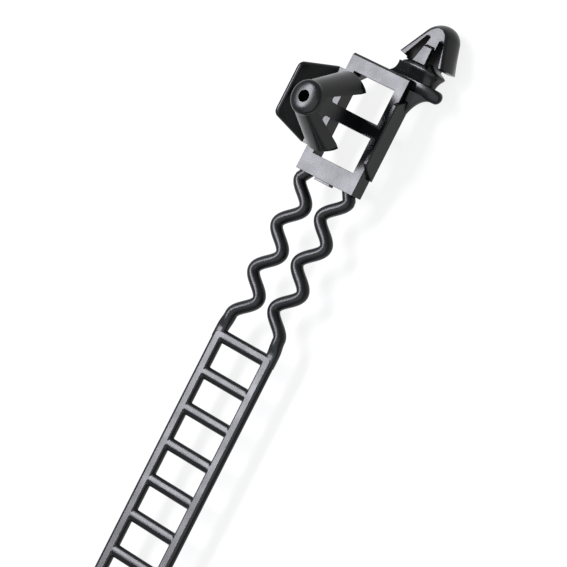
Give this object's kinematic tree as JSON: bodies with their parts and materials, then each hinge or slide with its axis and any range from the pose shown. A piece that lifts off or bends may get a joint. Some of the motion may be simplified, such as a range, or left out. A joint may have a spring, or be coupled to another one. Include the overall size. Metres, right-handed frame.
{
  "type": "ladder cable tie with arrowhead mount",
  "caption": "Moulded nylon ladder cable tie: window strap, wavy spring rails, a head with a sprung locking post and a guide plate, and a push-in arrowhead.",
  "frame": {"origin": "middle of the bottom of the bounding box, with the tie lying on its back", "axes": "+Y along the strap towards the arrowhead, +X across the strap towards the arrowhead's side, +Z out of the front of the head"},
  "size_m": [0.0222, 0.139, 0.0206],
  "materials": {
    "black_nylon": "as moulded, satin with soft glossy highlights"
  },
  "bodies": {
    "root": {"ladder_cable_tie": "black_nylon"}
  },
  "joints": []
}
